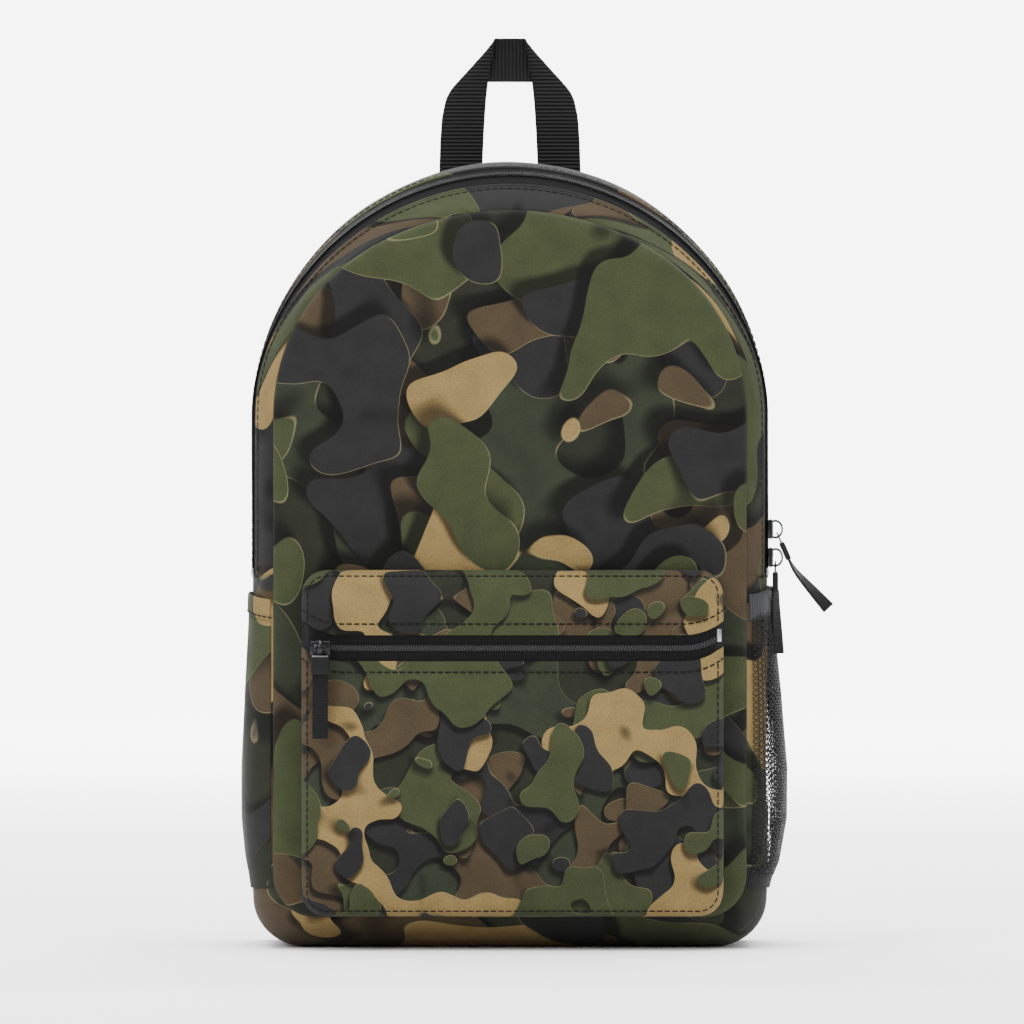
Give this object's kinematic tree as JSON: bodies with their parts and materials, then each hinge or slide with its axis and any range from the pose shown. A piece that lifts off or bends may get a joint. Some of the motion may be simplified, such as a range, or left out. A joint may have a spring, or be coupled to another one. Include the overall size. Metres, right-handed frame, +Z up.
{
  "type": "hunting backpack",
  "caption": "Arched daypack with a zip-open front flap, front pocket, slip and mesh side pockets, carry handle and padded shoulder straps.",
  "frame": {"origin": "middle of the flat underside, on the ground", "axes": "+Z up to the crown, -Y out of the front pocket, +X to the right of someone facing the front"},
  "size_m": [0.3477, 0.2216, 0.537],
  "materials": {
    "camo_fabric": "printed polyester weave",
    "pocket_fabric": "printed polyester weave, smaller print",
    "black_mesh": "open knitted polyester mesh",
    "spacer_mesh": "padded spacer mesh",
    "black_webbing": "ribbed polypropylene webbing",
    "black_binding": "woven binding tape",
    "zip_tape": "woven zip tape",
    "zip_coil": "nylon coil",
    "slider_metal": "black enamelled zinc",
    "bare_steel": "bare wire or stamped stop",
    "black_plastic": "moulded acetal",
    "lining": "plain coated polyester"
  },
  "bodies": {
    "pack": {"base_panel": "camo_fabric", "side_panel_left": "camo_fabric", "side_panel_right": "camo_fabric", "rear_gusset": "camo_fabric", "back_panel": "spacer_mesh", "rear_binding": "black_binding", "back_pad_left": "spacer_mesh", "back_pad_right": "spacer_mesh", "back_pad_lumbar": "spacer_mesh", "front_panel_lower": "camo_fabric", "pocket_lower_panel": "pocket_fabric", "pocket_upper_panel": "pocket_fabric", "pocket_zip_tape": "zip_tape", "pocket_zip_teeth": "zip_coil", "pocket_zip_stop": "bare_steel", "main_zip_tape_rear": "zip_tape", "main_zip_teeth_rear": "zip_coil", "main_zip_tape_ends": "zip_tape", "main_zip_teeth_ends": "zip_coil", "main_zip_stops": "bare_steel", "slip_pocket": "camo_fabric", "slip_pocket_hem": "camo_fabric", "mesh_pocket": "black_mesh", "mesh_pocket_elastic": "black_binding", "mesh_pocket_trim": "black_binding", "laptop_sleeve": "lining", "strap_yoke": "black_binding", "shoulder_pad_left": "spacer_mesh", "shoulder_pad_right": "spacer_mesh", "ladder_lock_left": "black_plastic", "ladder_lock_right": "black_plastic", "adjuster_webbing_left": "black_webbing", "adjuster_webbing_right": "black_webbing", "strap_anchor_left": "black_binding", "strap_anchor_right": "black_binding"},
    "flap": {"front_panel_upper": "camo_fabric", "front_gusset": "camo_fabric", "main_zip_tape_front": "zip_tape", "main_zip_teeth_front": "zip_coil"},
    "handle": {"carry_handle": "black_webbing"},
    "upper_slider": {"upper_slider": "slider_metal"},
    "upper_pull": {"upper_pull_link": "bare_steel", "upper_pull_crimp": "black_plastic", "upper_pull_ribbon": "black_webbing"},
    "lower_slider": {"lower_slider": "slider_metal"},
    "lower_pull": {"lower_pull_link": "bare_steel", "lower_pull_crimp": "black_plastic", "lower_pull_ribbon": "black_webbing"},
    "pocket_slider": {"pocket_slider": "slider_metal"},
    "pocket_pull": {"pocket_pull_link": "bare_steel", "pocket_pull_crimp": "black_plastic", "pocket_pull_ribbon": "black_webbing"}
  },
  "joints": [
    {"name": "flap_open", "type": "hinge", "parent": "pack", "child": "flap", "pos_m": [0, -0.07, 0.265], "axis": [1, 0, 0], "range_deg": [0, 85]},
    {"name": "handle_swing", "type": "hinge", "parent": "pack", "child": "handle", "pos_m": [0, 0.064, 0.464], "axis": [1, 0, 0], "range_deg": [-50, 50], "stiffness_Nm_per_rad": 0.08},
    {"name": "lower_slider_travel", "type": "slide", "parent": "pack", "child": "lower_slider", "axis": [0, 0, 1], "range_m": [0, 0.006]},
    {"name": "upper_slider_travel", "type": "slide", "parent": "lower_slider", "child": "upper_slider", "axis": [0, 0, 1], "range_m": [0, 0.007]},
    {"name": "pocket_slider_travel", "type": "slide", "parent": "pack", "child": "pocket_slider", "axis": [1, 0, 0], "range_m": [0, 0.205]},
    {"name": "upper_pull_swing", "type": "hinge", "parent": "upper_slider", "child": "upper_pull", "pos_m": [0.1553, -0.046, 0.245], "axis": [0, -1, 0], "range_deg": [0, 120]},
    {"name": "lower_pull_swing", "type": "hinge", "parent": "lower_slider", "child": "lower_pull", "pos_m": [0.1553, -0.046, 0.2285], "axis": [0, -1, 0], "range_deg": [0, 30]},
    {"name": "pocket_pull_swing", "type": "hinge", "parent": "pocket_slider", "child": "pocket_pull", "pos_m": [-0.11, -0.1013, 0.176], "axis": [-1, 0, 0], "range_deg": [0, 150]}
  ]
}
